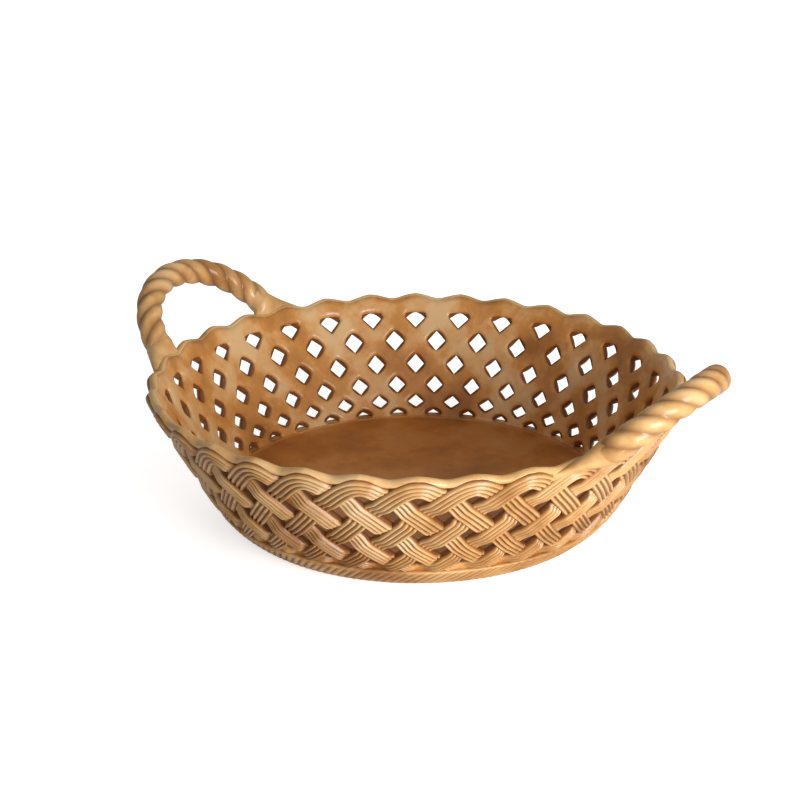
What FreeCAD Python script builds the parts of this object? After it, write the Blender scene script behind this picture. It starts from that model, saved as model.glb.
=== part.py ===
import FreeCAD, Part
import math
import os
import Sketcher

# Pierced porcelain basket with a woven outside and two rope handles.
# Millimetres, +Z up. The origin is the middle of the foot, on the table.
# The handles lie on the X axis. A place on the wall is given by its turn, which
# is its angle from +X counted in scallops, by its share of the way down from the
# rim's notches to the table, and by its offset outwards, square to the wall.

doc = FreeCAD.newDocument("PiercedBasket")
vector = FreeCAD.Vector
same = 1e-6

driving = [
    ("rim_radius", 119.0, "inner face of the wall at the rim's notches"),
    ("base_radius", 84.0, "inner face carried down to the table"),
    ("notch_height", 64.0, "table to the notches between two scallops"),
    ("scallop_rise", 3.4, "notch to the top of a scallop"),
    ("wall_thickness", 2.2, "pierced wall, square to its face"),
    ("scallop_count", 32, "scallops, woven strands and hole columns"),
    ("floor_top", 9.0, "table to the top of the floor"),
    ("floor_thickness", 5.0, "floor plate"),
    ("foot_height", 8.2, "top of the rope moulded foot"),
    ("foot_ledge", 3.0, "how far the foot's top stands out beyond the wall"),
    ("foot_flare", 8.5, "how much wider the foot's radius is at its top than on the table"),
    ("foot_bulge", 1.2, "how far the foot's side stands out half way up"),
    ("foot_width", 8.0, "flat ring that touches the table"),
    ("foot_rib_count", 64, "slanting ribs round the foot"),
    ("foot_rib_depth", 1.1, "crest to groove of a rib"),
    ("foot_rib_lean", 4.5, "how far a rib runs round the foot in half its height"),
    ("weave_foot_gap", 2.68, "top of the foot up to the lowest crossing of the strands"),
    ("strand_thickness", 1.7, "one strand, square to the wall"),
    ("strand_width_share", 0.60, "strand width, as a share of the strands' spacing"),
    ("weave_clearance", 0.22, "wall to strand and strand to strand"),
    ("loop_inset", 1.2, "rim's top to the outer edge of a strand's loop"),
    ("hole_width_share", 0.205, "half width of a hole, as a share of a scallop"),
    ("overrun", 5.0, "how far a cut runs past what it cuts"),
    ("handle_radius", 42.0, "middle line of the rope loop"),
    ("handle_angle", 43.0, "degrees that the loop rises outwards"),
    ("handle_drop", 3.4, "ends of the loop's middle line below the rim's notches"),
    ("rope_diameter", 13.2, "whole rope"),
    ("roll_count", 3, "rolls twisted into one rope"),
    ("roll_turn_count", 3.6, "turns of the rolls between the two ends"),
    ("roll_start_share", -0.045, "where the first roll starts, as a share of a turn"),
    ("roll_clearance", 0.12, "roll to roll, and roll to handle end"),
    ("end_angle", 17.0, "degrees of the loop that the smooth end takes"),
    ("end_collar", 0.5, "how far the smooth end stands out beyond the rope"),
    ("end_length", 29.0, "smooth end, measured along the rim"),
    ("end_cover", 1.6, "smooth end, thickness outside the weave"),
    ("end_hang", 6.0, "how far the smooth end reaches below the rim's notches"),
    ("rim_clearance", 0.3, "smooth end to the rim and the weave"),
]

# Rows of crossings and of holes down the wall. The last row is the lowest, and the others
# lie in the same proportions between the notches and it.
drawn_row_shares = (0.140, 0.304, 0.472, 0.622, 0.742, 0.830)
drawn_hole_shares = (0.118, 0.304, 0.472, 0.622, 0.742, 0.830)

# Half height of each row's holes, as a share of the half width.
hole_height_shares = (1.5, 1.1, 1.05, 1.0, 0.85, 0.35)

# A scallop's arch, as shares of its half width and of its rise.
arch_shares = ((-1.0, 0.0), (-0.56, 0.68), (0.0, 1.0), (0.56, 0.68), (1.0, 0.0))

# Edges of the wall's flat facets, in turns. Each has a column of holes in its middle.
facet_shares = (-0.25, 0.25, 0.75)

# Half of a crossing, and the sections over a strand's loop, in turns.
crossing_share = 0.19
loop_shares = (-0.15, 0.03, 0.21)

# Bevel of a strand's edges, as a share of its half width.
bevel_share = 0.2

# Inner side of a handle end's root, as a share of the wall, and its waist, as a share
# of the way from the rope to the rim.
root_inset_share = 0.1
waist_share = 0.55

# Flat sides round a roll and round a handle's end, and a roll's sections in one turn.
roll_sides = 5
end_sides = 8
roll_steps = 6

# Steps along the rim over which a handle's end is fitted to it, and the step used to
# find a strand's slope, in turns.
rim_steps = (-1.5, -1.0, -0.5, 0.0, 0.5, 1.0, 1.5)
slope_step = 0.01

sizes = doc.addObject("Spreadsheet::Sheet", "Sizes")
for line, (alias, value, note) in enumerate(driving, start=1):
    sizes.set("A%d" % line, alias.replace("_", " "))
    sizes.set("B%d" % line, str(value))
    sizes.set("C%d" % line, note)
    sizes.setAlias("B%d" % line, alias)
doc.recompute()


def size(alias):
    return float(sizes.get(alias))


def cell(alias):
    return "Sizes." + alias


# Wall geometry, as numbers for the woven and twisted pieces

flare = size("rim_radius") - size("base_radius")
slant = math.hypot(flare, size("notch_height"))
turn_angle = 2 * math.pi / size("scallop_count")
facet_stretch = 1 / math.cos(turn_angle / 4)
strand_step = size("strand_thickness") + size("weave_clearance")


def wovenShares(drawn):
    """The drawn rows, stretched so that the lowest keeps its gap above the foot."""
    woven = size("notch_height") - size("foot_height") - size("weave_foot_gap")
    stretch = woven / size("notch_height") / drawn[-1]
    return [share * stretch for share in drawn]


row_shares = wovenShares(drawn_row_shares)
hole_shares = wovenShares(drawn_hole_shares)


def wallPoint(turn, share, offset):
    radius = size("rim_radius") - flare * share + offset * size("notch_height") / slant
    height = size("notch_height") * (1 - share) - offset * flare / slant
    angle = turn * turn_angle
    return vector(radius * math.cos(angle), radius * math.sin(angle), height)


def wallNormal(turn):
    angle = turn * turn_angle
    out = size("notch_height") / slant
    return vector(out * math.cos(angle), out * math.sin(angle), -flare / slant)


# Expressions for the sketches and primitives

def innerRadius(height):
    run = "(%s - %s)" % (cell("rim_radius"), cell("base_radius"))
    return "(%s + %s * (%s) / %s)" % (cell("base_radius"), run, height, cell("notch_height"))


def outerRadius(height):
    run = "((%s - %s) / %s)" % (cell("rim_radius"), cell("base_radius"), cell("notch_height"))
    return "(%s + %s * sqrt(1 + %s ^ 2))" % (innerRadius(height), cell("wall_thickness"), run)


def originPlane(body, role):
    for feature in body.Origin.OriginFeatures:
        if feature.Role == role:
            return feature


def outlineSketch(body, name, role, outlines):
    """Closed outlines of straight sides, each corner placed by two expressions."""
    sketch = body.newObject("Sketcher::SketchObject", name)
    sketch.AttachmentSupport = [(originPlane(body, role), "")]
    sketch.MapMode = "FlatFace"
    for corners in outlines:
        first = sketch.GeometryCount
        places = [(sizes.evalExpression(x), sizes.evalExpression(y)) for x, y in corners]
        places = [vector(float(x), float(y), 0) for x, y in places]
        for index, place in enumerate(places):
            after = places[(index + 1) % len(places)]
            sketch.addGeometry(Part.LineSegment(place, after))
        for index in range(len(corners)):
            after = (index + 1) % len(corners)
            ends = (first + index, 2, first + after, 1)
            sketch.addConstraint(Sketcher.Constraint("Coincident", *ends))
        for index, (x, y) in enumerate(corners):
            place = places[index]
            for axis, value, number in (("DistanceX", x, place.x), ("DistanceY", y, place.y)):
                made = sketch.addConstraint(Sketcher.Constraint(axis, -1, 1, first + index, 1, number))
                sketch.setExpression("Constraints[%d]" % made, value)
    doc.recompute()
    return sketch


# Flat faceted solids

def polyhedron(faces):
    """Solid from flat faces, each given by its corners in order."""
    sides = [Part.Face(Part.makePolygon(corners + corners[:1])) for corners in faces]
    shell = Part.Compound(sides)
    shell.sewShape()
    solid = Part.Solid(shell.Shells[0])
    if solid.Volume < 0:
        solid.reverse()
    return solid


def facetedLoft(sections):
    """Solid through sections with as many corners each, and flat facets between them."""
    faces = [sections[0], sections[-1]]
    for first, second in zip(sections, sections[1:]):
        for index in range(len(first)):
            after = (index + 1) % len(first)
            faces.append([first[index], first[after], second[after]])
            faces.append([first[index], second[after], second[index]])
    return polyhedron(faces)


def facetCorners(radius, height):
    """Outline with the wall's own facets, two to a scallop, that touch the radius."""
    corners = []
    for index in range(2 * int(size("scallop_count"))):
        angle = (index / 2 + facet_shares[0]) * turn_angle
        corners.append(vector(radius * math.cos(angle), radius * math.sin(angle), 0) * facet_stretch)
        corners[-1].z = height
    return corners


def facetOutline(radius):
    """The same outline for a sketch, with its radius given as an expression."""
    corners = []
    for index in range(2 * int(size("scallop_count"))):
        reach = "%s / cos(90 deg / %s)" % (radius, cell("scallop_count"))
        angle = "(%s) * 360 deg / %s" % (index / 2 + facet_shares[0], cell("scallop_count"))
        corners.append(("%s * cos(%s)" % (reach, angle), "%s * sin(%s)" % (reach, angle)))
    return corners


def wallOutside(height):
    return float(sizes.evalExpression(outerRadius(str(height))))


# Floor

def floorPlate():
    """Plate whose edge carries on the wall's outer face, so the wall stands on it."""
    body = doc.addObject("PartDesign::Body", "floor_plate")
    under = "(%s - %s)" % (cell("floor_top"), cell("floor_thickness"))
    plate = body.newObject("PartDesign::Pad", "Plate")
    plate.Profile = outlineSketch(body, "FloorOutline", "XY_Plane", [facetOutline(outerRadius(under))])
    plate.setExpression("Length", cell("floor_thickness"))
    run = "(%s - %s)" % (cell("rim_radius"), cell("base_radius"))
    plate.setExpression("TaperAngle", "atan(%s / %s)" % (run, cell("notch_height")))
    body.setExpression("Placement.Base.z", under)
    body.Tip = plate
    return body


# Pierced wall

def sectorBlank():
    """One scallop of the wall: two flat facets, one for each column of holes."""
    low = size("floor_top")
    top = size("notch_height") + size("scallop_rise")
    levels = []
    for height in (low, top):
        level = []
        for expression in (innerRadius, outerRadius):
            radius = float(sizes.evalExpression(expression(str(height)))) * facet_stretch
            angles = [turn * turn_angle for turn in facet_shares]
            level.append([vector(radius * math.cos(a), radius * math.sin(a), height) for a in angles])
        levels.append(level)
    (inner, outer), (inner_top, outer_top) = levels
    faces = [inner + outer[::-1], inner_top + outer_top[::-1]]
    for left, right in ((0, 1), (1, 2)):
        faces.append([inner[left], inner[right], inner_top[right], inner_top[left]])
        faces.append([outer[left], outer[right], outer_top[right], outer_top[left]])
    for end in (0, 2):
        faces.append([inner[end], outer[end], outer_top[end], inner_top[end]])
    blank = doc.addObject("Part::Feature", "SectorBlank")
    blank.Shape = polyhedron(faces)
    return blank


def rowHeight(share):
    return "%s * (1 - %s)" % (cell("notch_height"), share)


def holeOutline(row):
    """Diamond between four strands. The top row's holes end flat, under the loop."""
    share = hole_shares[row]
    height = rowHeight(share)
    scallop = "(%s * 360 deg / %s / 1 rad)" % (innerRadius(height), cell("scallop_count"))
    middle = "(%s * %s)" % (scallop, row % 2 / 2)
    half = "(%s * %s)" % (scallop, cell("hole_width_share"))
    rise = "(%s * %s)" % (half, hole_height_shares[row])
    left = ("%s - %s" % (middle, half), height)
    right = ("%s + %s" % (middle, half), height)
    low = (middle, "%s - %s" % (height, rise))
    if row == 0:
        return [left, low, right]
    return [left, low, right, (middle, "%s + %s" % (height, rise))]


def scallopOutline():
    """What is cut away above one scallop, between the notches beside it."""
    top = "(%s + %s)" % (cell("notch_height"), cell("scallop_rise"))
    half = "(%s * tan(180 deg / %s))" % (outerRadius(top), cell("scallop_count"))
    over = "%s + %s" % (top, cell("overrun"))
    corners = [("%s * %s" % (half, arch_shares[0][0]), over)]
    for across, up in arch_shares:
        height = "%s + %s * %s" % (cell("notch_height"), cell("scallop_rise"), up)
        corners.append(("%s * %s" % (half, across), height))
    corners.append(("%s * %s" % (half, arch_shares[-1][0]), over))
    return corners


def cutOutwards(body, name, sketch):
    before = body.Tip.Shape.Volume if body.Tip else body.BaseFeature.Shape.Volume
    pocket = body.newObject("PartDesign::Pocket", name)
    pocket.Profile = sketch
    pocket.Type = "ThroughAll"
    pocket.Reversed = True
    doc.recompute()
    if pocket.Shape.Volume >= before:
        raise ValueError(name + " cuts nothing")
    return pocket


def wallSector():
    body = doc.addObject("PartDesign::Body", "WallSector")
    body.BaseFeature = sectorBlank()
    doc.recompute()
    rim = outlineSketch(body, "ScallopOutline", "YZ_Plane", [scallopOutline()])
    scallop = cutOutwards(body, "Scallop", rim)
    both = body.newObject("PartDesign::PolarPattern", "BothScallops")
    both.Originals = [scallop]
    both.Axis = (rim, ["V_Axis"])
    both.setExpression("Angle", "360 deg / " + cell("scallop_count"))
    both.Occurrences = 2
    body.Tip = both
    doc.recompute()
    rows = range(len(hole_shares))
    column = outlineSketch(body, "HoleColumn", "YZ_Plane", [holeOutline(row) for row in rows])
    cutOutwards(body, "Holes", column)
    return body


def turned(shape, turns):
    copy = shape.copy()
    copy.rotate(vector(0, 0, 0), vector(0, 0, 1), math.degrees(turns * turn_angle))
    return copy


def isSectorSide(face):
    """True on the two upright faces where one scallop of the wall meets the next."""
    middle = face.CenterOfMass
    turn = math.atan2(middle.y, middle.x) / turn_angle
    upright = abs(face.normalAt(0, 0).z) < same
    return upright and min(abs(turn - facet_shares[0]), abs(turn - facet_shares[-1])) < same


def piercedWall():
    sector = wallSector().Shape
    faces = [face for face in sector.Faces if not isSectorSide(face)]
    count = int(size("scallop_count"))
    ring = Part.Compound([turned(face, turn) for turn in range(count) for face in faces])
    ring.sewShape()
    wall = doc.addObject("Part::Feature", "pierced_wall")
    wall.Shape = Part.Solid(ring.Shells[0])
    return wall


# Woven strands

def strandTopShare():
    """Share of the middle line of a strand at the top of its loop."""
    inset = (size("loop_inset") - size("scallop_rise")) / size("notch_height")
    return inset + strandWidth(0.5) / 2 / slant


def strandShare(turn):
    """Middle line of the strand whose loop is at turn 0: up, over the loop and down."""
    along = abs(turn)
    if along <= 0.5:
        top = strandTopShare()
        return top + (row_shares[0] - top) * (1 - math.cos(math.pi * along))
    row = min(int(2 * along) - 1, len(row_shares) - 2)
    part = 2 * along - 1 - row
    return row_shares[row] * (1 - part) + row_shares[row + 1] * part


def strandWidth(turn):
    """Share of the distance between two strands that run side by side."""
    along = max(abs(turn), 0.5)
    row = min(int(2 * along) - 1, len(row_shares) - 2)
    drop = slant * (row_shares[row + 1] - row_shares[row])
    half = (size("rim_radius") - flare * row_shares[row]) * turn_angle / 2
    return size("strand_width_share") * 2 * half * drop / math.hypot(half, drop)


def strandSection(turn, over, level_cut=False):
    """Bar section, square to the strand, or level at a strand's end."""
    low = size("weave_clearance") + size("wall_thickness") + (strand_step if over else 0)
    thick = size("strand_thickness")
    middle = wallPoint(turn, strandShare(turn), 0)
    ahead = wallPoint(turn + slope_step, strandShare(turn + slope_step), 0)
    behind = wallPoint(turn - slope_step, strandShare(turn - slope_step), 0)
    along = (ahead - behind).normalize()
    normal = wallNormal(turn)
    across = normal.cross(along).normalize()
    half = strandWidth(turn) / 2
    if level_cut:
        level = vector(-normal.y, normal.x, 0).normalize()
        half = half / abs(level.dot(across))
        across = level if level.dot(across) > 0 else -level
    places = [(-1, 0), (1, 0), (1 - bevel_share, thick), (bevel_share - 1, thick)]
    return [middle + across * (half * side) + normal * (low + up) for side, up in places]


def strandTurns():
    """Each section's turn and whether the strand is over its neighbour there."""
    rows = range(len(row_shares))
    rising = []
    for row in reversed(rows):
        over = row % 2 == 0
        rising += [(-(row + 1) / 2 - crossing_share, over), (-(row + 1) / 2 + crossing_share, over)]
    falling = []
    for row in rows:
        over = row % 2 == 1
        falling += [((row + 1) / 2 - crossing_share, over), ((row + 1) / 2 + crossing_share, over)]
    end = len(row_shares) / 2
    rising[0] = (-end, rising[0][1])
    falling[-1] = (end, falling[-1][1])
    return rising[:-1] + [(turn, True) for turn in loop_shares] + falling


def wovenStrands():
    places = strandTurns()
    ends = (places[0], places[-1])
    strand = facetedLoft([strandSection(turn, over, (turn, over) in ends) for turn, over in places])
    strands = doc.addObject("Part::Feature", "woven_strands")
    strands.Shape = Part.Compound([turned(strand, turn) for turn in range(int(size("scallop_count")))])
    return strands


# Rope moulded foot

def ribbedRing(radius, height, lean):
    """Outline with a crest and a groove for each rib, turned by the lean."""
    count = int(size("foot_rib_count"))
    corners = []
    for index in range(2 * count):
        angle = math.pi * index / count + lean / radius
        reach = radius - index % 2 * size("foot_rib_depth")
        corners.append(vector(reach * math.cos(angle), reach * math.sin(angle), height))
    return corners


def footRadii():
    """Outside of the foot on the table, half way up and at its top."""
    top = wallOutside(size("foot_height")) + size("foot_ledge")
    low = top - size("foot_flare")
    return low, (low + top) / 2 + size("foot_bulge"), top


def footRing():
    height = size("foot_height")
    lean = size("foot_rib_lean")
    low, middle, top = footRadii()
    rings = [ribbedRing(low, 0, -lean), ribbedRing(middle, height / 2, 0), ribbedRing(top, height, lean)]
    ribbed = doc.addObject("Part::Feature", "RibbedRing")
    ribbed.Shape = facetedLoft(rings)
    foot = doc.addObject("Part::Cut", "foot_ring")
    foot.Base = ribbed
    foot.Tool = floorSeat()
    return foot


def floorSeat():
    """Bore of the foot and, above it, the seat that the floor plate fills."""
    under = size("floor_top") - size("floor_thickness")
    bore = footRadii()[0] - size("foot_width")
    over = size("foot_height") + size("overrun")
    seat = doc.addObject("Part::Feature", "FloorSeat")
    seat.Shape = facetedLoft([
        facetCorners(bore, -size("overrun")),
        facetCorners(bore, under),
        facetCorners(wallOutside(under), under),
        facetCorners(wallOutside(over), over),
    ])
    return seat


# Handles, made at the +X side and turned half way round for the other side

rise_angle = math.radians(size("handle_angle"))
rim_middle = size("rim_radius") + (size("wall_thickness") + strand_step) / 2
loop_start = math.sqrt(rim_middle ** 2 - size("handle_radius") ** 2)
last_angle = math.pi / 2 - math.radians(size("end_angle"))


def loopPoint(angle, radius, lift):
    """Place on the rope loop, by its angle from the outermost point."""
    out = radius * math.cos(angle)
    height = size("notch_height") - size("handle_drop")
    return vector(
        loop_start + out * math.cos(rise_angle) - lift * math.sin(rise_angle),
        radius * math.sin(angle),
        height + out * math.sin(rise_angle) + lift * math.cos(rise_angle),
    )


def loopSection(angle, spread, reach, sides, spin):
    """Regular outline square to the loop, beside its middle line and turned by the spin."""
    corners = []
    for index in range(sides):
        corner = spin + 2 * math.pi * index / sides
        across = spread * math.cos(spin) + reach * math.cos(corner)
        lift = spread * math.sin(spin) + reach * math.sin(corner)
        corners.append(loopPoint(angle, size("handle_radius") + across, lift))
    return corners


def ropeRoll(number):
    """One roll. Its outline turns with the twist, so it keeps clear of its neighbours."""
    count = size("roll_count")
    spread = size("rope_diameter") / 2 / (1 + math.sin(math.pi / count))
    reach = size("rope_diameter") / 2 - spread - size("roll_clearance") / 2
    stop = last_angle - size("roll_clearance") / size("handle_radius")
    steps = int(round(size("roll_turn_count") * roll_steps))
    sections = []
    for step in range(steps + 1):
        angle = -stop + 2 * stop * step / steps
        start = size("roll_start_share") + number / count
        spin = 2 * math.pi * (start + size("roll_turn_count") * step / steps)
        sections.append(loopSection(angle, spread, reach, roll_sides, spin))
    return facetedLoft(sections)


def endRoot(side, turn, half):
    """Outline of a handle's end on the rim, in the same order as the rope's outline."""
    share = size("end_hang") / size("notch_height")
    inside = size("wall_thickness") * root_inset_share
    outside = size("wall_thickness") + 2 * strand_step + size("rim_clearance") + size("end_cover")
    middle = (inside + outside) / 2
    thick = (outside - inside) / 2
    centre = wallPoint(turn, share, middle)
    normal = wallNormal(turn)
    away = vector(-normal.y, normal.x, 0).normalize() * side
    corners = []
    for index in range(end_sides):
        spin = 2 * math.pi * index / end_sides
        corners.append(centre + away * (half * math.cos(spin)) - normal * (thick * math.sin(spin)))
    return corners


def rimSpace(middle_turn):
    """Space of the wall and the weave near one handle end, with the running clearance."""
    clear = size("rim_clearance")
    top = size("notch_height") + size("scallop_rise") + clear
    offset = size("wall_thickness") + 2 * strand_step + clear
    sections = []
    for step in rim_steps:
        turn = round(2 * middle_turn) / 2 + facet_shares[0] + step
        corners = []
        for height in (size("notch_height") / 2, top):
            share = 1 - height / size("notch_height")
            inner = wallPoint(turn, share, 0)
            outer = wallPoint(turn, share - offset * flare / slant / size("notch_height"), offset)
            out = vector(inner.x, inner.y, 0).normalize()
            corners += [inner - out * size("overrun"), outer + out * (outer.dot(out) * (facet_stretch - 1))]
        sections.append([corners[0], corners[1], corners[3], corners[2]])
    return facetedLoft(sections)


def handleEnd(side):
    """Smooth end that carries the rope into the rim, flared away from the loop."""
    reach = size("rope_diameter") / 2 + size("end_collar")
    half = size("end_length") / 2
    foot = math.asin(size("handle_radius") / rim_middle) / turn_angle
    turn = side * (foot + (half - reach) / rim_middle / turn_angle)
    rope = loopSection(side * last_angle, 0, reach, end_sides, 0)
    root = endRoot(side, turn, half)
    neck = endRoot(side, side * foot, reach)
    waist = [near + (far - near) * waist_share for near, far in zip(rope, neck)]
    return facetedLoft([rope, waist, root]).cut(rimSpace(turn))


def addNode(name, solids, placement=FreeCAD.Placement()):
    node = doc.addObject("Part::Feature", name)
    node.Shape = Part.Compound(solids)
    node.Placement = placement
    return node


def handles():
    rolls = [ropeRoll(number) for number in range(int(size("roll_count")))]
    ends = [handleEnd(side) for side in (-1, 1)]
    half_way = FreeCAD.Placement(vector(0, 0, 0), FreeCAD.Rotation(vector(0, 0, 1), 180))
    return [
        addNode("right_handle_rolls", rolls),
        addNode("right_handle_ends", ends),
        addNode("left_handle_rolls", rolls, half_way),
        addNode("left_handle_ends", ends, half_way),
    ]


# Build, check and write

nodes = [floorPlate(), footRing(), piercedWall(), wovenStrands()] + handles()
doc.recompute()

for made in doc.Objects:
    if "Invalid" in made.State or "Error" in made.State:
        raise ValueError(made.Label + " failed")

os.makedirs("parts", exist_ok=True)
for node in nodes:
    shape = node.Shape
    if shape.isNull() or not shape.isValid() or not shape.Solids:
        raise ValueError(node.Label + " has no valid shape")
    print(node.Label, len(shape.Solids), "solids", round(shape.Volume), "mm3")
    shape.exportStep("parts/%s.step" % node.Label)
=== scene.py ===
import bpy
import math
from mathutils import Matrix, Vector


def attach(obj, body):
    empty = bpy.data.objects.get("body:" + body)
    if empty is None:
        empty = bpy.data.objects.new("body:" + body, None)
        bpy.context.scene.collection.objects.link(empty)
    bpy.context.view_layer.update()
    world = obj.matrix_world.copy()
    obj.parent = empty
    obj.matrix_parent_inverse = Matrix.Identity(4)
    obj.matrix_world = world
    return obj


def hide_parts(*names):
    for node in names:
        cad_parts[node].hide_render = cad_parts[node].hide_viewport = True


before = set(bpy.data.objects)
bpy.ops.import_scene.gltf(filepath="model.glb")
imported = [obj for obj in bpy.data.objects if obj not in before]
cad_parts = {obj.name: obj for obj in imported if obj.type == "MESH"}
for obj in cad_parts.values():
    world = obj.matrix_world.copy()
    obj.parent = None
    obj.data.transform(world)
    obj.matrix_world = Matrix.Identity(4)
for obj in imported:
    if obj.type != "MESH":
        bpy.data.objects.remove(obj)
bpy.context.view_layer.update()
print("frame loaded:", len(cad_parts), "nodes")

# The wall, shared by every piece. A place on it is its turn, counted in scallops from +X,
# its share of the way down from the notches, and its offset from the inner face (metres).
basket = {
    "scallops": 32,
    "rimRadius": 0.119,  # inner face at the notches
    "baseRadius": 0.084,  # inner face carried down to the table
    "notchHeight": 0.064,
    "scallopRise": 0.0024,
    "archPower": 2.0,
    "notchSoftness": 0.28,  # half width of the rounding in a notch, in half scallops
    "rimSink": 0.0013,  # middle of the rolled rim, below its top
    "thickness": 0.0022,
    "floorTop": 0.009,
    "floorThickness": 0.005,
    "rowShares": [0.140, 0.304, 0.472, 0.622, 0.742, 0.830],  # strap crossings
}

flare = basket["rimRadius"] - basket["baseRadius"]
slant = math.hypot(flare, basket["notchHeight"])
turnAngle = 2 * math.pi / basket["scallops"]
floorUnder = basket["floorTop"] - basket["floorThickness"]
rowCount = len(basket["rowShares"])


def wallPoint(turn, share, offset):
    radius = basket["rimRadius"] - flare * share + offset * basket["notchHeight"] / slant
    height = basket["notchHeight"] * (1 - share) - offset * flare / slant
    angle = turn * turnAngle
    return Vector((radius * math.cos(angle), radius * math.sin(angle), height))


def wallNormal(turn):
    angle = turn * turnAngle
    out = basket["notchHeight"] / slant
    return Vector((out * math.cos(angle), out * math.sin(angle), -flare / slant))


def pitchAt(share):  # width of one scallop at that level
    return (basket["rimRadius"] - flare * share) * turnAngle


def rimShare(turn):
    across = abs(2 * (turn - round(turn)))
    soft = basket["notchSoftness"]
    across = 1 + soft - math.hypot(1 - across, soft)
    return -basket["scallopRise"] / basket["notchHeight"] * (1 - across ** basket["archPower"])


def topShare(turn):  # where the wall ends, inside the rolled rim
    return rimShare(turn) + basket["rimSink"] / slant


def mix(first, second, part):
    return first + (second - first) * part


def eased(part):
    part = max(0.0, min(1.0, part))
    return part * part * (3 - 2 * part)


# Node trees

weldDistance = 0.000002
ropeSides = 48
ropeGrooveShade = 0.75  # "groove" (painted groove shade) at the bottom of the rope's grooves; in the straps' it is 1


class Wire:  # a node's output that Python's operators work on
    def __init__(self, tree, socket):
        self.tree = tree
        self.socket = socket

    def math(self, operation, other=None, swapped=False):
        values = [other, self] if swapped else [self, other]
        inputs = {place: value for place, value in enumerate(values) if value is not None}
        node = addNode(self.tree, "ShaderNodeMath", {"operation": operation}, inputs)
        return Wire(self.tree, node.outputs[0])

    def __add__(self, other):
        return self.math("ADD", other)

    __radd__ = __add__

    def __sub__(self, other):
        return self.math("SUBTRACT", other)

    def __rsub__(self, other):
        return self.math("SUBTRACT", other, True)

    def __mul__(self, other):
        return self.math("MULTIPLY", other)

    __rmul__ = __mul__


def addNode(tree, kind, settings=None, inputs=None):
    node = tree.nodes.new(kind)
    for name, value in (settings or {}).items():
        setattr(node, name, value)
    for name, value in (inputs or {}).items():
        value = value.socket if isinstance(value, Wire) else value
        if isinstance(value, bpy.types.NodeSocket):
            tree.links.new(value, node.inputs[name])
        else:
            node.inputs[name].default_value = value
    return node


def shaderTree(owner):  # the emptied tree of a material or the world
    owner.use_nodes = True
    owner.node_tree.nodes.clear()
    return owner.node_tree


def ramp(tree, value, ends, amount=1.0, kind="LINEAR"):
    # 0 where the value is the first of the ends, the amount where it is the second
    inputs = {"Value": value, "From Min": ends[0], "From Max": ends[1], "To Max": amount}
    return addNode(tree, "ShaderNodeMapRange", {"interpolation_type": kind}, inputs).outputs[0]


def blend(tree, part, first, second):  # two colours
    inputs = {"Factor": part, 6: first, 7: second}
    return addNode(tree, "ShaderNodeMix", {"data_type": "RGBA"}, inputs).outputs[2]


def newTree(name, inputs):
    tree = bpy.data.node_groups.new(name, "GeometryNodeTree")
    for label, kind in inputs:
        tree.interface.new_socket(label, in_out="INPUT", socket_type="NodeSocket" + kind)
    tree.interface.new_socket("Geometry", in_out="OUTPUT", socket_type="NodeSocketGeometry")
    return tree, addNode(tree, "NodeGroupInput")


def endTree(tree, entry, geometry):
    smooth = addNode(tree, "GeometryNodeSetShadeSmooth", None, {"Geometry": geometry})
    finish = {"Geometry": smooth.outputs[0], "Material": entry.outputs["Material"]}
    painted = addNode(tree, "GeometryNodeSetMaterial", None, finish)
    addNode(tree, "NodeGroupOutput", None, {"Geometry": painted.outputs[0]})
    return tree


def turnedRoundTree():  # copies one sector all round the basket and welds the seams
    inputs = [("Geometry", "Geometry"), ("Count", "Int"), ("Step", "Float"), ("Material", "Material")]
    tree, entry = newTree("turnedRound", inputs)
    points = addNode(tree, "GeometryNodePoints", None, {"Count": entry.outputs["Count"]})
    index = Wire(tree, addNode(tree, "GeometryNodeInputIndex").outputs[0])
    spin = addNode(tree, "ShaderNodeCombineXYZ", None, {"Z": index * Wire(tree, entry.outputs["Step"])})
    copies = addNode(tree, "GeometryNodeInstanceOnPoints", None, {
        "Points": points.outputs[0],
        "Instance": entry.outputs["Geometry"],
        "Rotation": spin.outputs[0],
    })
    whole = addNode(tree, "GeometryNodeRealizeInstances", None, {"Geometry": copies.outputs[0]})
    weld = {"Geometry": whole.outputs[0], "Distance": weldDistance}
    welded = addNode(tree, "GeometryNodeMergeByDistance", None, weld)
    return endTree(tree, entry, welded.outputs[0])


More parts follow.
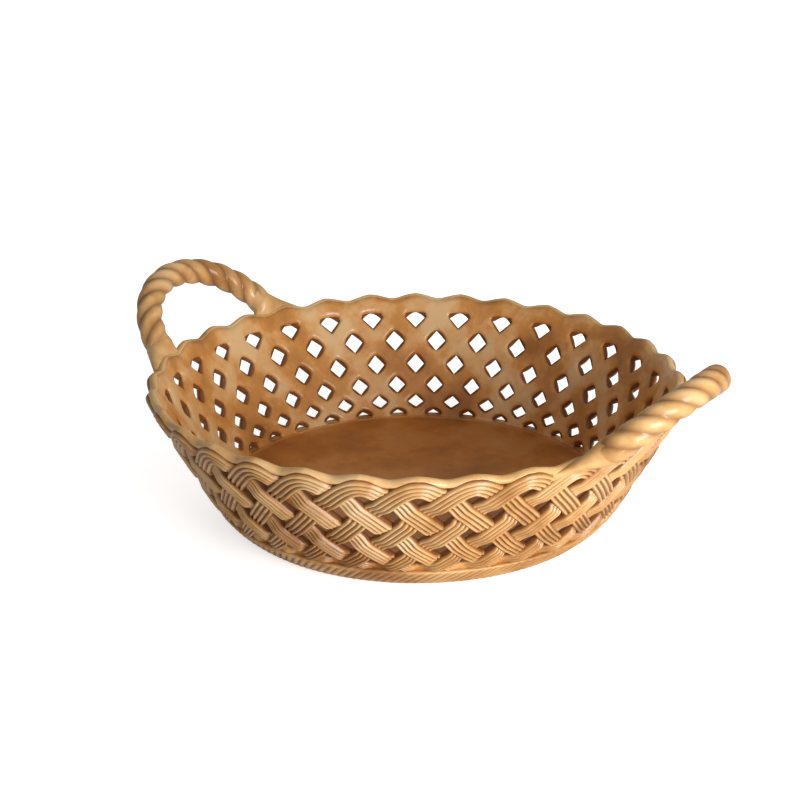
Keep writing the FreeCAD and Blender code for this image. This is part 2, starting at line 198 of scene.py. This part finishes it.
def twistedRopeTree():  # a lobed section that turns as it follows an arc
    inputs = [("Geometry", "Geometry")]
    for label in ("Loop radius", "Start", "Sweep", "Rope radius", "Groove", "Turns"):
        inputs.append((label, "Float"))
    inputs += [("Rolls", "Int"), ("Steps", "Int"), ("Place", "Vector"), ("Rise", "Vector")]
    inputs.append(("Material", "Material"))
    tree, entry = newTree("twistedRope", inputs)
    path = addNode(tree, "GeometryNodeCurveArc", {"mode": "RADIUS"}, {
        "Resolution": entry.outputs["Steps"],
        "Radius": entry.outputs["Loop radius"],
        "Start Angle": entry.outputs["Start"],
        "Sweep Angle": entry.outputs["Sweep"],
    })
    along = Wire(tree, addNode(tree, "GeometryNodeSplineParameter").outputs["Factor"])
    tilt = along * Wire(tree, entry.outputs["Turns"]) * (2 * math.pi)
    twisted = addNode(tree, "GeometryNodeSetCurveTilt", None, {"Curve": path.outputs[0], "Tilt": tilt})
    circle = {"Resolution": ropeSides, "Radius": 1.0}
    ring = addNode(tree, "GeometryNodeCurvePrimitiveCircle", None, circle)
    around = Wire(tree, addNode(tree, "GeometryNodeSplineParameter").outputs["Factor"])
    wave = (around * Wire(tree, entry.outputs["Rolls"]) * math.pi).math("COSINE").math("ABSOLUTE")
    reach = Wire(tree, entry.outputs["Rope radius"]) - (1 - wave) * Wire(tree, entry.outputs["Groove"])
    place = addNode(tree, "GeometryNodeInputPosition")
    scaled = addNode(tree, "ShaderNodeVectorMath", {"operation": "SCALE"}, {
        0: place.outputs[0],
        "Scale": reach,
    })
    lobed = addNode(tree, "GeometryNodeSetPosition", None, {
        "Geometry": ring.outputs[0],
        "Position": scaled.outputs[0],
    })
    # the groove attribute darkens the rope's grooves in the glaze: painted shade
    depth = addNode(tree, "GeometryNodeStoreNamedAttribute", {"data_type": "FLOAT", "domain": "POINT"}, {
        "Geometry": lobed.outputs[0],
        "Name": "groove",
        "Value": (1 - wave) * ropeGrooveShade,
    })
    rope = addNode(tree, "GeometryNodeCurveToMesh", None, {
        "Curve": twisted.outputs[0],
        "Profile Curve": depth.outputs[0],
        "Fill Caps": True,
    })
    moved = addNode(tree, "GeometryNodeTransform", None, {
        "Geometry": rope.outputs[0],
        "Translation": entry.outputs["Place"],
        "Rotation": entry.outputs["Rise"],
    })
    whole = addNode(tree, "GeometryNodeRealizeInstances", None, {"Geometry": moved.outputs[0]})
    return endTree(tree, entry, whole.outputs[0])


def runTree(piece, tree, values):
    modifier = piece.modifiers.new(tree.name, "NODES")
    modifier.node_group = tree
    for item in tree.interface.items_tree:
        if item.in_out == "INPUT" and item.name in values:
            modifier[item.identifier] = values[item.name]
    graph = bpy.context.evaluated_depsgraph_get()
    evaluated = piece.evaluated_get(graph)
    mesh = bpy.data.meshes.new_from_object(evaluated, preserve_all_data_layers=True, depsgraph=graph)
    piece.modifiers.clear()
    piece.data = mesh
    mesh.name = piece.name
    return piece


def makePiece(name, points, faces, grooves=None):
    mesh = bpy.data.meshes.new(name)
    mesh.from_pydata(points, [], faces)
    if grooves:
        mesh.attributes.new("groove", "FLOAT", "POINT").data.foreach_set("value", grooves)
    mesh.shade_smooth()
    piece = bpy.data.objects.new(name, mesh)
    bpy.context.scene.collection.objects.link(piece)
    return piece


def bridge(faces, first, second, count, closed=True, flipped=False):
    # quads between two rows of points that start at these indices
    for place in range(count if closed else count - 1):
        after = (place + 1) % count
        quad = [first + place, first + after, second + after, second + place]
        faces.append(quad[::-1] if flipped else quad)


def turnPiece(piece, angle):  # about the basket's axis
    c = math.cos(angle)
    s = math.sin(angle)
    for point in piece.data.vertices:
        x, y, z = point.co
        point.co = (x * c - y * s, x * s + y * c, z)


def settle(piece, nodes):
    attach(piece, "root")
    if nodes:
        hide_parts(*nodes)
    print(piece.name, len(piece.data.polygons), "faces")


# Glazed porcelain

glaze = {
    "bodies": {
        "outside": (0.77, 0.44, 0.165, 1),  # the straps, the rim and the handles
        # the pierced wall and the floor are darker, more orange copies of the outside colour: painted
        # shade
        "inside": (0.70, 0.31, 0.078, 1),
        "floor": (0.58, 0.20, 0.034, 1),  # darker still: painted shade on the floor of the basket
    },
    "grooveShade": (0.22, 0.068, 0.012, 1),  # painted shade in the grooves
    "grooveShadeAmount": 0.95,
    "cream": (0.82, 0.56, 0.28, 1),  # lighter patches, laid at random by noise
    # the floor's small amount of cream keeps it dark, part of its painted shade
    "creamAmounts": {"outside": 0.7, "inside": 0.8, "floor": 0.16},
    "creamNoise": (0.52, 0.38),  # the noise where cream starts, and where it is full
    "stain": (0.30, 0.105, 0.02, 1),
    "stainScale": 30.0,
    "stainAmount": 0.8,
    "stainNoise": (0.48, 0.7),
    "roughness": 0.27,
    "roughnessSpread": 0.14,
    "shine": 0.35,
    "coat": 0.2,
    "rippleScale": 260.0,
    "rippleHeight": 0.00012,
}


def glazedPorcelain(name, body, marked=False):
    material = bpy.data.materials.new(name)
    tree = shaderTree(material)
    place = addNode(tree, "ShaderNodeTexCoord").outputs["Object"]
    cloud = addNode(tree, "ShaderNodeTexNoise", None, {
        "Vector": place, "Scale": glaze["stainScale"], "Detail": 5.0, "Roughness": 0.6,
    }).outputs["Fac"]
    thin = ramp(tree, cloud, glaze["creamNoise"], glaze["creamAmounts"][body])
    creamy = blend(tree, thin, glaze["bodies"][body], glaze["cream"])
    patches = ramp(tree, cloud, glaze["stainNoise"], glaze["stainAmount"])
    color = blend(tree, patches, creamy, glaze["stain"])
    # painted shade: darker glaze where the groove attribute marks a groove
    if marked:
        mark = addNode(tree, "ShaderNodeAttribute", {"attribute_name": "groove"})
        depth = Wire(tree, mark.outputs["Fac"])
        color = blend(tree, depth * glaze["grooveShadeAmount"], color, glaze["grooveShade"])
    ripple = addNode(tree, "ShaderNodeTexNoise", None, {
        "Vector": place, "Scale": glaze["rippleScale"], "Detail": 2.0,
    })
    bump = addNode(tree, "ShaderNodeBump", None, {
        "Height": ripple.outputs["Fac"], "Distance": glaze["rippleHeight"], "Strength": 0.6,
    })
    rough = Wire(tree, cloud) * glaze["roughnessSpread"] + glaze["roughness"]
    surface = addNode(tree, "ShaderNodeBsdfPrincipled", None, {
        "Base Color": color, "Roughness": rough, "Normal": bump.outputs[0], "IOR": 1.5,
        "Specular IOR Level": glaze["shine"], "Coat Weight": glaze["coat"], "Coat Roughness": 0.08,
    })
    addNode(tree, "ShaderNodeOutputMaterial", None, {"Surface": surface.outputs[0]})
    return material


plainGlaze = glazedPorcelain("plainGlaze", "outside")
grooveGlaze = glazedPorcelain("grooveGlaze", "outside", True)
# painted shade: the wall and floor glazes are darker copies of the outside glaze
wallGlaze = glazedPorcelain("wallGlaze", "inside")
floorGlaze = glazedPorcelain("floorGlaze", "floor")
turnedRound = turnedRoundTree()
twistedRope = twistedRopeTree()


def allRound(piece, count, material, nodes):
    values = {"Count": count, "Step": 2 * math.pi / count, "Material": material}
    settle(runTree(piece, turnedRound, values), nodes)


# Pierced wall: a diamond shaped cell round each hole, six to a scallop

wall = {
    "points": 32,  # round each hole
    "halfWidthShare": 0.235,  # narrowest part of a hole, as a share of a scallop
    "heightShares": [0.7, 1.06, 1.06, 1.0, 0.84, 0.62],  # half height by half width
    "raised": {0: 0.012, 5: 0.008},  # top and bottom row, above their crossings
    "squareness": 1.5,  # 1 has straight sides and sharp corners, 2 is an ellipse
    "lowSquareness": 1.8,  # bottom row
    "triangle": {"width": 1.1, "up": 0.36, "down": 1.25},  # top row, by half width
    "triangleSquareness": {"up": 3.4, "down": 1.15},
    "floorShare": 0.862,
    "sidePoints": 2,  # of each quarter, up the straight side of a top or bottom cell
    # from the inner face through the hole to the outer face: how far towards the
    # edge of the cell, and how deep in the wall
    "profileShares": [(1, 0), (0.6, 0), (0.34, 0.02), (0.18, 0.09), (0.08, 0.24), (0.02, 0.46),
                      (0, 0.7), (0.03, 0.9), (0.1, 1), (1, 1)],
}


def rowShare(row):
    rows = basket["rowShares"]
    low = max(0, min(rowCount - 2, math.floor(row)))
    return mix(rows[low], rows[low + 1], row - low)


def cellEdge(row, place):  # a cell's outline, from its right corner over the top
    quarter = wall["points"] // 4
    side, step = divmod(place, quarter)
    part = step / quarter
    upper = side < 2
    nearSide = part if side in (0, 2) else 1 - part
    turn = (0.5, 0, -0.5, 0)[side] * (1 - part) + (0, -0.5, 0, 0.5)[side] * part
    if (row == 0 and upper) or (row == rowCount - 1 and not upper):
        straight = wall["sidePoints"] / quarter
        sideSign = 1 if side in (0, 3) else -1
        if nearSide <= straight:
            turn = 0.5 * sideSign
            end = topShare(0.5) if upper else wall["floorShare"]
            return turn, mix(rowShare(row), end, nearSide / straight)
        turn = 0.5 * sideSign * (1 - (nearSide - straight) / (1 - straight))
        return turn, topShare(turn) if upper else wall["floorShare"]
    return turn, rowShare(row + nearSide * (-1 if upper else 1))


def holeEdge(row, turn, share):
    centre = rowShare(row) - wall["raised"].get(row, 0)
    across = turn * pitchAt(centre)
    down = (share - centre) * slant
    halfWidth = wall["halfWidthShare"] * pitchAt(centre)
    halfHeight = halfWidth * wall["heightShares"][row]
    power = wall["squareness"]
    if row == 0:  # a triangle that points down
        half = "up" if down < 0 else "down"
        power = wall["triangleSquareness"][half]
        halfHeight = halfWidth * wall["triangle"][half]
        halfWidth *= wall["triangle"]["width"]
    if row == rowCount - 1:
        power = wall["lowSquareness"]
    length = math.hypot(across, down)
    reach = abs(across / length / halfWidth) ** power + abs(down / length / halfHeight) ** power
    reach = reach ** (-1 / power)
    return reach * across / length / pitchAt(centre), centre + reach * down / length / slant


def wallSector():
    points = []
    faces = []
    count = wall["points"]
    rings = len(wall["profileShares"])
    side = wall["sidePoints"]
    # along the wall's top and bottom the outer face is closed to the inner one
    closed = {
        0: range(side, count // 2 - side),
        rowCount - 1: range(count // 2 + side, count - side),
    }
    for row in range(rowCount):
        start = len(points)
        edge = [cellEdge(row, place) for place in range(count)]
        hole = [holeEdge(row, *spot) for spot in edge]
        for outward, deep in wall["profileShares"]:
            for (farTurn, farShare), (nearTurn, nearShare) in zip(edge, hole):
                turn = mix(nearTurn, farTurn, outward) + row % 2 / 2
                share = mix(nearShare, farShare, outward)
                points.append(wallPoint(turn, share, deep * basket["thickness"]))
        for ring in range(rings - 1):
            bridge(faces, start + ring * count, start + (ring + 1) * count, count)
        last = start + (rings - 1) * count
        for place in closed.get(row, ()):
            after = (place + 1) % count
            faces.append([last + place, last + after, start + after, start + place])
    return makePiece("pierced_wall_glazed", points, faces)


allRound(wallSector(), basket["scallops"], wallGlaze, ["pierced_wall"])


# Rim: a smooth rolled edge that follows the scallops

rim = {
    "steps": 28,
    "sides": 18,
    "offset": 0.0020,  # its middle, from the inner face
    "halfWidth": 0.0020,
    "halfHeight": 0.0015,
    "probe": 0.01,  # share of the way up the wall that gives its direction
}


def rimSector():
    points = []
    faces = []
    for step in range(rim["steps"] + 1):
        turn = step / rim["steps"] - 0.5
        share = topShare(turn)
        middle = wallPoint(turn, share, rim["offset"])
        out = wallNormal(turn)
        up = wallPoint(turn, share - rim["probe"], rim["offset"]) - middle
        up.normalize()
        for side in range(rim["sides"]):
            angle = 2 * math.pi * side / rim["sides"]
            across = out * (rim["halfWidth"] * math.cos(angle))
            points.append(middle + across + up * (rim["halfHeight"] * math.sin(angle)))
    for step in range(rim["steps"]):
        bridge(faces, step * rim["sides"], (step + 1) * rim["sides"], rim["sides"], True, True)
    return makePiece("rolled_rim", points, faces)


allRound(rimSector(), basket["scallops"], plainGlaze, [])


# Woven straps: one ribbed strap to each scallop, over and under the others

strap = {
    "ribs": 4,
    "ribShares": [(-1, 0), (-0.72, 0.32), (-0.4, 0.82), (0, 1), (0.4, 0.82), (0.72, 0.32)],  # one rib
    "widthShare": 0.57,  # of the distance between straps
    "underTop": 0.0041,
    "overTop": 0.0058,
    "grooveDepth": 0.0014,
    "crown": 0.0004,
    "sunk": 0.0014,  # underside, from the wall's inner face
    "topInset": 0.0002,  # top of a loop below the scallop
    "edgeGap": 0.0002,
    "tipLength": 0.0026,  # a strap's finger ends, where it goes under
    "riseLength": 0.0065,  # where it comes out again
    "dive": 0.0022,  # how far the ends sink behind the foot
    "diveTurns": 0.32,
    "step": 0.027,
    "probe": 0.05,  # turns to each side of a crossing that give a strap's slope there
}


def strapWidth(turn):
    rows = basket["rowShares"]
    place = max(0.0, min(len(rows) - 2.0, 2 * abs(turn) - 1.5))
    low = min(len(rows) - 3, int(place))
    widths = []
    for row in (low, low + 1):
        drop = slant * (rows[row + 1] - rows[row])
        half = pitchAt(rows[row]) / 2
        widths.append(2 * half * drop / math.hypot(half, drop))
    return strap["widthShare"] * mix(widths[0], widths[1], min(1, place - low))


def strapShare(turn):
    rows = basket["rowShares"]
    away = abs(turn)
    if away <= 0.5:
        top = (strap["topInset"] - basket["scallopRise"] + strapWidth(0.5) / 2) / slant
        return top + (rows[0] - top) * (1 - math.cos(math.pi * away))
    row = min(int(2 * away) - 1, len(rows) - 2)
    return mix(rows[row], rows[row + 1], 2 * away - 1 - row)


def underTurns():  # crossings where the strap passes under another
    rising = [-row / 2 for row in range(2, rowCount + 1, 2)]
    falling = [row / 2 for row in range(1, rowCount + 1, 2)]
    return rising + falling


def lifted(turn, across):
    # 0 under a crossing strap, 1 over one; the change follows that strap's edge
    lift = 1.0
    near = strap["probe"]
    for under in underTurns():
        slope = (strapShare(under + near) - strapShare(under - near)) / (2 * near) * slant
        pitch = pitchAt(strapShare(under))
        speed = math.hypot(pitch, slope)
        sine = abs(2 * pitch * slope) / speed ** 2
        cosine = (pitch ** 2 - slope ** 2) / speed ** 2
        lean = across * cosine / sine * (1 if slope > 0 else -1)
        along = (turn - under) * speed + lean
        beyond = abs(along) * sine - strapWidth(under) / 2 - strap["edgeGap"]
        if along < 0:
            part = max(0.0, min(1.0, beyond / strap["tipLength"]))
            lift = min(lift, math.sqrt(1 - (1 - part) ** 2))
        else:
            lift = min(lift, eased(beyond / strap["riseLength"]))
    return lift


def strapSection(turn):
    share = strapShare(turn)
    small = strap["step"] / 4
    ahead = wallPoint(turn + small, strapShare(turn + small), 0)
    behind = wallPoint(turn - small, strapShare(turn - small), 0)
    normal = wallNormal(turn)
    across = normal.cross((ahead - behind).normalized()).normalized()
    middle = wallPoint(turn, share, 0)
    half = strapWidth(turn) / 2
    under = normal * strap["sunk"]
    points = [middle + across * half + under, middle - across * half + under]
    # groove: painted shade in the glaze, full on the underside and in the valleys between the ribs
    grooves = [1.0, 1.0]
    profile = [(rib, x, up) for rib in range(strap["ribs"]) for x, up in strap["ribShares"]]
    profile.append((strap["ribs"] - 1, 1, 0))
    left = (rowCount / 2 - abs(turn)) / strap["diveTurns"]
    dive = strap["dive"] * (1 - eased(left))
    for rib, x, up in profile:
        spot = (rib * 2 + 1 + x) / strap["ribs"] - 1
        ribMiddle = (rib * 2 + 1) / strap["ribs"] - 1
        lift = lifted(turn, ribMiddle * half) * eased(left)
        top = mix(strap["underTop"], strap["overTop"], lift) - strap["crown"] * spot ** 2
        top -= strap["grooveDepth"] * (1 - up) + dive
        points.append(middle + across * (spot * half) + normal * top)
        grooves.append(1 - up)
    return points, grooves


def strapMesh(name):
    points = []
    grooves = []
    faces = []
    end = rowCount / 2
    count = int(2 * end / strap["step"])
    for place in range(count + 1):
        more, depths = strapSection(-end + 2 * end * place / count)
        points += more
        grooves += depths
    ring = len(points) // (count + 1)
    for place in range(count):
        bridge(faces, place * ring, (place + 1) * ring, ring)
    faces.append(list(range(ring))[::-1])
    faces.append([count * ring + place for place in range(ring)])
    return makePiece(name, points, faces, grooves)


for name, first in (("woven_straps_even", 0), ("woven_straps_odd", 1)):
    straps = strapMesh(name)
    turnPiece(straps, first * turnAngle)
    allRound(straps, basket["scallops"] // 2, grooveGlaze, ["woven_strands"])


# Foot ring with slanting rope moulding, and the floor

foot = {
    "ribsPerScallop": 5,
    "stepsPerRib": 10,
    "levels": 14,
    "radius": 0.0853,
    "topRadius": 0.0948,
    "bulge": 0.0009,
    "height": 0.0095,
    "ribDepth": 0.0015,
    "ribFade": 0.6,  # power: how late a rib fades out towards its ends
    "ribRoundness": 0.7,  # power: below 1 a rib is fuller and the valley beside it narrower
    "lean": 2.7,  # how far a rib runs round in the foot's height, in ribs
    "width": 0.0078,
    "edge": 0.0006,
    "boreRise": 0.0006,  # top of the bore, above the underside of the floor
    "lip": (0.0012, 0.0005),  # in from the top radius, and up from the top
    "seatShare": 0.14,  # of the flare, where the top meets the wall
    "seat": (0.001, 0.0004),  # out from the wall's inner face, and down from the top
}


def footSector():
    points = []
    grooves = []
    faces = []
    across = foot["ribsPerScallop"] * foot["stepsPerRib"] + 1
    bore = foot["radius"] - foot["width"]
    boreTop = floorUnder + foot["boreRise"]
    profile = [(bore, boreTop, 0), (bore, foot["edge"], 0), (bore + foot["edge"], 0, 0)]
    for level in range(foot["levels"] + 1):
        part = level / foot["levels"]
        radius = mix(foot["radius"], foot["topRadius"], part) + foot["bulge"] * math.sin(math.pi * part)
        height = foot["height"] * part
        if level == 0:  # a small bevel where it stands
            radius -= foot["edge"]
        profile.append((radius, height, math.sin(math.pi * part) ** foot["ribFade"]))
    inward, up = foot["lip"]
    profile.append((foot["topRadius"] - inward, foot["height"] + up, 0))
    outward, down = foot["seat"]
    seatRadius = basket["baseRadius"] + flare * foot["seatShare"] + outward
    profile.append((seatRadius, foot["height"] - down, 0))
    for radius, height, ribbed in profile:
        for step in range(across):
            turn = step / (across - 1)
            phase = foot["ribsPerScallop"] * turn - foot["lean"] * height / foot["height"]
            valley = 1 - abs(math.sin(math.pi * phase)) ** foot["ribRoundness"]
            reach = radius - foot["ribDepth"] * ribbed * valley
            angle = turn * turnAngle
            points.append((reach * math.cos(angle), reach * math.sin(angle), height))
            # painted shade in the glaze, in the valleys between the foot's ribs
            grooves.append(ribbed * valley)
    for level in range(len(profile) - 1):
        bridge(faces, level * across, (level + 1) * across, across, False)
    bridge(faces, (len(profile) - 1) * across, 0, across, False)
    return makePiece("roped_foot", points, faces, grooves)


allRound(footSector(), basket["scallops"], grooveGlaze, ["foot_ring"])

floor = {
    "steps": 128,
    "fillet": 0.0009,
    "filletSteps": 4,
    "hollow": 0.0004,  # the middle of the top, below its edge
    "hollowRings": [(0.02, 1), (0.06, 0.6)],  # radius, and share of the hollow there
    "flatWidth": 0.004,  # level top, next to the wall
    "reach": 0.0016,  # how far the plate runs into the wall
    "edge": (0.0006, 0.0012),  # inside the wall, above and below the top
    "underRadius": 0.0785,
}


def floorMesh():
    top = basket["floorTop"]
    inner = basket["baseRadius"] + flare * top / basket["notchHeight"]
    profile = [(radius, top - floor["hollow"] * share) for radius, share in floor["hollowRings"]]
    profile.append((inner - floor["flatWidth"], top))
    for step in range(floor["filletSteps"] + 1):
        angle = math.pi / 2 * step / floor["filletSteps"]
        radius = inner - floor["fillet"] + floor["fillet"] * math.sin(angle)
        profile.append((radius, top + floor["fillet"] * (1 - math.cos(angle))))
    above, below = floor["edge"]
    profile += [(inner + floor["reach"], top + above), (inner + floor["reach"], top - below)]
    profile += [(floor["underRadius"], floorUnder), (floor["hollowRings"][0][0], floorUnder)]
    points = [(0, 0, top - floor["hollow"])]
    for radius, height in profile:
        for step in range(floor["steps"]):
            angle = 2 * math.pi * step / floor["steps"]
            points.append((radius * math.cos(angle), radius * math.sin(angle), height))
    points.append((0, 0, floorUnder))
    faces = []
    for ring in range(len(profile) - 1):
        start = 1 + ring * floor["steps"]
        bridge(faces, start, start + floor["steps"], floor["steps"], True, True)
    last = 1 + (len(profile) - 1) * floor["steps"]
    for step in range(floor["steps"]):
        after = (step + 1) % floor["steps"]
        faces.append([0, 1 + step, 1 + after])
        faces.append([len(points) - 1, last + after, last + step])
    piece = makePiece("floor_glazed", points, faces)
    piece.data.materials.append(floorGlaze)
    return piece


settle(floorMesh(), ["floor_plate"])


# Handles: a rope of three rolls, and smooth ends that flow into the rim

handle = {
    "loopRadius": 0.0412,
    "rise": math.radians(43),
    "drop": 0.0034,
    "ropeRadius": 0.0064,
    "groove": 0.0010,
    "rimMiddle": 0.12106,  # middle of the rim's thickness, at the foot of a handle
    "rolls": 3,
    "turns": 3.6,
    "endAngle": math.radians(17),
    "overrun": 0.06,  # angle that the rope runs on, inside each end
    "steps": 260,
}

handleEnd = {
    "sides": 28,
    "steps": 26,
    "startRadius": 0.0044,  # inside the rope, so that the rolls sink into the end
    "startShare": 0.84,  # where it starts, as a share of the rope's half loop
    "fade": 0.34,  # share of its length over which the rolls fade out
    "collar": 0.0064,
    "away": 0.022,  # half length along the rim, away from the loop
    "towards": 0.018,  # and on the loop's side
    "halfThickness": 0.0031,
    "runOn": 0.7,  # how far it follows the loop past the rope, as a share of endAngle
    "crossShare": -0.01,  # where it crosses the rim, and where it ends, down the wall
    "rootShare": 0.1,
    "rootHalfThickness": 0.0008,
    "offset": 0.0030,
    "turnRate": 1.3,  # it lies along the wall from 1 / 1.3 of its length
    # where along it a size starts to change, the share of it that this takes, and its power
    "awayChange": (0.2, 0.65, 1.3),
    "towardsChange": (0.25, 0.65, 1.5),
    "thickChange": (0.3, 0.4, 1),
    "rootChange": (0.68, 0.32, 1),
}

rimMiddle = handle["rimMiddle"]
loopStart = math.sqrt(rimMiddle ** 2 - handle["loopRadius"] ** 2)
lastAngle = math.pi / 2 - handle["endAngle"]


def loopPoint(angle, across=0.0, lift=0.0):
    out = (handle["loopRadius"] + across) * math.cos(angle)
    rise = handle["rise"]
    return Vector((
        loopStart + out * math.cos(rise) - lift * math.sin(rise),
        (handle["loopRadius"] + across) * math.sin(angle),
        basket["notchHeight"] - handle["drop"] + out * math.sin(rise) + lift * math.cos(rise),
    ))


def ropePiece(name):
    values = {
        "Loop radius": handle["loopRadius"],
        "Start": -lastAngle - handle["overrun"],
        "Sweep": 2 * (lastAngle + handle["overrun"]),
        "Rope radius": handle["ropeRadius"],
        "Groove": handle["groove"],
        "Turns": handle["turns"],
        "Rolls": handle["rolls"],
        "Steps": handle["steps"],
        "Place": (loopStart, 0, basket["notchHeight"] - handle["drop"]),
        "Rise": (0, -handle["rise"], 0),
        "Material": grooveGlaze,
    }
    return runTree(makePiece(name, [], []), twistedRope, values)


def bezier(places, part):
    while len(places) > 1:
        places = [mix(first, second, part) for first, second in zip(places, places[1:])]
    return places[0]


def changed(part, start, length, power):
    return eased((part - start) / length) ** power


def rimFall(root, side, along):  # how far the rim sinks into the next notch, away from the loop
    if along < 0:
        return 0
    fall = rimShare(root + side * along / pitchAt(0)) - rimShare(root)
    return fall * basket["notchHeight"] * (along / handleEnd["away"]) ** 2


def endMesh(side):
    root = side * (math.asin(handle["loopRadius"] / rimMiddle) / turnAngle)
    path = [
        loopPoint(side * lastAngle * handleEnd["startShare"]),
        loopPoint(side * lastAngle),
        loopPoint(side * (lastAngle + handle["endAngle"] * handleEnd["runOn"])),
        wallPoint(root, handleEnd["crossShare"], handleEnd["offset"]),
        wallPoint(root, handleEnd["rootShare"], handleEnd["offset"]),
    ]
    ropeAcross = loopPoint(side * lastAngle, 1) - loopPoint(side * lastAngle)
    ropeLift = loopPoint(side * lastAngle, 0, 1) - loopPoint(side * lastAngle)
    normal = wallNormal(root)
    rimAcross = Vector((-normal.y, normal.x, 0)).normalized() * side
    points = []
    faces = []
    for step in range(handleEnd["steps"] + 1):
        part = step / handleEnd["steps"]
        middle = bezier(path, part)
        turnPart = eased(part * handleEnd["turnRate"])
        across = mix(ropeAcross, rimAcross, turnPart).normalized()
        lift = mix(ropeLift, -normal, turnPart).normalized()
        collar = mix(handleEnd["startRadius"], handleEnd["collar"], min(1, part / handleEnd["fade"]))
        away = mix(collar, handleEnd["away"], changed(part, *handleEnd["awayChange"]))
        towards = mix(collar, handleEnd["towards"], changed(part, *handleEnd["towardsChange"]))
        thick = mix(collar, handleEnd["halfThickness"], changed(part, *handleEnd["thickChange"]))
        thick = mix(thick, handleEnd["rootHalfThickness"], changed(part, *handleEnd["rootChange"]))
        for place in range(handleEnd["sides"]):
            angle = 2 * math.pi * place / handleEnd["sides"]
            along = (away if math.cos(angle) > 0 else towards) * math.cos(angle)
            wide = across * along
            spot = middle + wide + lift * (thick * math.sin(angle))
            spot.z -= rimFall(root, side, along) * turnPart
            bow = (wide.dot(rimAcross)) ** 2 / (2 * rimMiddle) * turnPart
            points.append(spot - Vector((normal.x, normal.y, 0)).normalized() * bow)
    for step in range(handleEnd["steps"]):
        start = step * handleEnd["sides"]
        bridge(faces, start, start + handleEnd["sides"], handleEnd["sides"], True, side < 0)
    caps = [list(range(handleEnd["sides"])), list(range(len(points) - handleEnd["sides"], len(points)))]
    faces.append(caps[0][::-1] if side > 0 else caps[0])
    faces.append(caps[1] if side > 0 else caps[1][::-1])
    return points, faces


def endsPiece(name):
    points, faces = endMesh(1)
    more, others = endMesh(-1)
    faces += [[len(points) + corner for corner in face] for face in others]
    piece = makePiece(name, points + more, faces)
    piece.data.materials.append(plainGlaze)
    return piece


for name, angle in (("right", 0), ("left", math.pi)):
    rope = ropePiece(name + "_rope")
    ends = endsPiece(name + "_rope_ends")
    turnPiece(rope, angle)
    turnPiece(ends, angle)
    settle(rope, [name + "_handle_rolls"])
    settle(ends, [name + "_handle_ends"])


# Stage, lamps and camera

stage = {
    "floorHalf": 12,
    "floorColor": (0.86, 0.86, 0.86, 1),
    "nearGlow": (0.67, 0.67, 0.67, 1),  # dimmer glow of the floor round the basket, so that its cast shadow shows there; the dimmer disc itself is painted shade
    "farGlow": (0.82, 0.82, 0.82, 1),
    "glowReach": (0.12, 0.34),
    "worldLight": 0.22,
    "key": {"azimuth": 68, "elevation": 9, "distance": 0.9, "size": 0.5, "power": 10.2},
    "back": {"azimuth": 215, "elevation": 18, "distance": 1.1, "size": 0.8, "power": 5.0},
    "fill": {"azimuth": 10, "elevation": 60, "distance": 1.2, "size": 0.9, "power": 1.2},
}

shot = {
    "azimuth": 33.44,
    "elevation": 22.16,
    "distance": 0.8873,
    "target": (0, 0, 0.0319),
    "lens": 84.35,
    "sensor": 36,
    "shift": (-0.0145, 0.0446),
    "clipStart": 0.01,
}


def aim(thing, facts):  # puts a lamp or the camera round the target, facing it
    azimuth = math.radians(facts["azimuth"])
    elevation = math.radians(facts["elevation"])
    level = math.cos(elevation)
    back = Vector((math.sin(azimuth) * level, -math.cos(azimuth) * level, math.sin(elevation)))
    thing.location = Vector(shot["target"]) + back * facts["distance"]
    thing.rotation_euler = (-back).to_track_quat("-Z", "Y").to_euler()
    bpy.context.scene.collection.objects.link(thing)


def stageFloor():
    size = stage["floorHalf"]
    corners = [(-size, -size, 0), (size, -size, 0), (size, size, 0), (-size, size, 0)]
    piece = makePiece("stage_floor", corners, [[0, 1, 2, 3]])
    material = bpy.data.materials.new("paleFloor")
    tree = shaderTree(material)
    seen = addNode(tree, "ShaderNodeLightPath").outputs["Is Camera Ray"]
    place = addNode(tree, "ShaderNodeTexCoord").outputs["Object"]
    away = addNode(tree, "ShaderNodeVectorMath", {"operation": "LENGTH"}, {0: place}).outputs["Value"]
    # the floor glows dimmer near the basket: painted shade round it
    part = ramp(tree, away, stage["glowReach"], kind="SMOOTHSTEP")
    tone = blend(tree, part, stage["nearGlow"], stage["farGlow"])
    matte = addNode(tree, "ShaderNodeBsdfDiffuse", None, {"Color": stage["floorColor"]})
    glow = addNode(tree, "ShaderNodeEmission", None, {"Color": tone, "Strength": seen})
    both = addNode(tree, "ShaderNodeAddShader", None, {0: matte.outputs[0], 1: glow.outputs[0]})
    addNode(tree, "ShaderNodeOutputMaterial", None, {"Surface": both.outputs[0]})
    piece.data.materials.append(material)


def worldLight():
    world = bpy.data.worlds.new("studio")
    bpy.context.scene.world = world
    tree = shaderTree(world)
    seen = Wire(tree, addNode(tree, "ShaderNodeLightPath").outputs["Is Camera Ray"])
    strength = seen * (1 - stage["worldLight"]) + stage["worldLight"]
    sky = addNode(tree, "ShaderNodeBackground", None, {"Color": (1, 1, 1, 1), "Strength": strength})
    addNode(tree, "ShaderNodeOutputWorld", None, {"Surface": sky.outputs[0]})


def lamp(name):
    facts = stage[name]
    light = bpy.data.lights.new(name, "AREA")
    light.energy = facts["power"]
    light.size = facts["size"]
    thing = bpy.data.objects.new(name, light)
    thing.visible_glossy = name != "back"  # its reflection would lie on the floor of the basket
    aim(thing, facts)


def addCamera():
    camera = bpy.data.objects.new("camera", bpy.data.cameras.new("camera"))
    camera.data.sensor_width = shot["sensor"]
    camera.data.lens = shot["lens"]
    camera.data.shift_x, camera.data.shift_y = shot["shift"]
    camera.data.clip_start = shot["clipStart"]
    aim(camera, shot)
    bpy.context.scene.camera = camera


stageFloor()
worldLight()
for name in ("key", "back", "fill"):
    lamp(name)
addCamera()
bpy.context.scene.view_settings.view_transform = "Standard"
print("stage and camera set")
